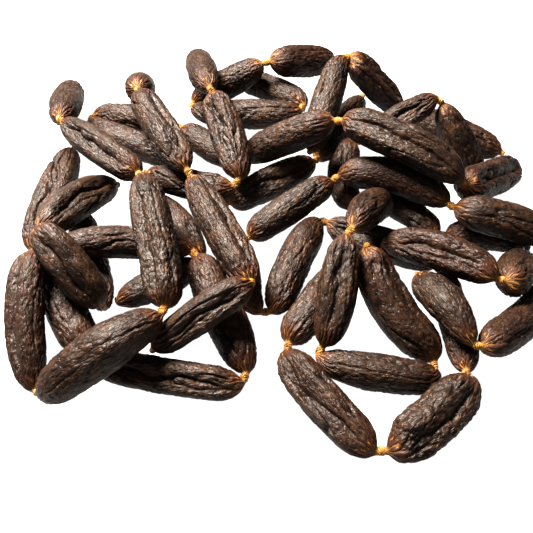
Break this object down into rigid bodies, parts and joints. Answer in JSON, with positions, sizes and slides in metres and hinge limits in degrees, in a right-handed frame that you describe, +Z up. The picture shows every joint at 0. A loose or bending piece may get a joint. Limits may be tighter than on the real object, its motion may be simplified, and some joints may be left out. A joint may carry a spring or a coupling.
{
  "type": "string of sausage links",
  "caption": "A heaped string of small dried sausage links, dark brown and wrinkled, joined end to end by short amber twists of casing.",
  "frame": {"origin": "on the table under the middle of the heap", "axes": "+Z up, +Y away from the viewer of the picture, +X to the viewer's right"},
  "size_m": [0.4174, 0.4018, 0.0868],
  "materials": {
    "casing": "dried collagen casing, dark brown, semi-gloss and wrinkled"
  },
  "bodies": {
    "root": {"link_01": "casing", "link_02": "casing", "link_03": "casing", "link_04": "casing", "link_05": "casing", "link_06": "casing", "link_07": "casing", "link_08": "casing", "link_09": "casing", "link_10": "casing", "link_11": "casing", "link_12": "casing", "link_13": "casing", "link_14": "casing", "link_15": "casing", "link_16": "casing", "link_17": "casing", "link_18": "casing", "link_19": "casing", "link_20": "casing", "link_21": "casing", "link_22": "casing", "link_23": "casing", "link_24": "casing", "link_25": "casing", "link_26": "casing", "link_27": "casing", "link_28": "casing", "link_29": "casing", "link_30": "casing", "link_31": "casing", "link_32": "casing", "link_33": "casing", "link_34": "casing", "link_35": "casing", "link_36": "casing", "link_37": "casing", "link_38": "casing", "link_39": "casing", "link_40": "casing", "link_41": "casing", "link_42": "casing", "link_43": "casing", "link_44": "casing", "link_45": "casing", "link_46": "casing", "link_47": "casing", "link_48": "casing", "link_49": "casing", "link_50": "casing", "link_51": "casing", "link_52": "casing", "link_53": "casing", "link_54": "casing", "link_55": "casing", "link_56": "casing", "link_57": "casing", "link_58": "casing", "link_59": "casing", "link_60": "casing"}
  },
  "joints": []
}
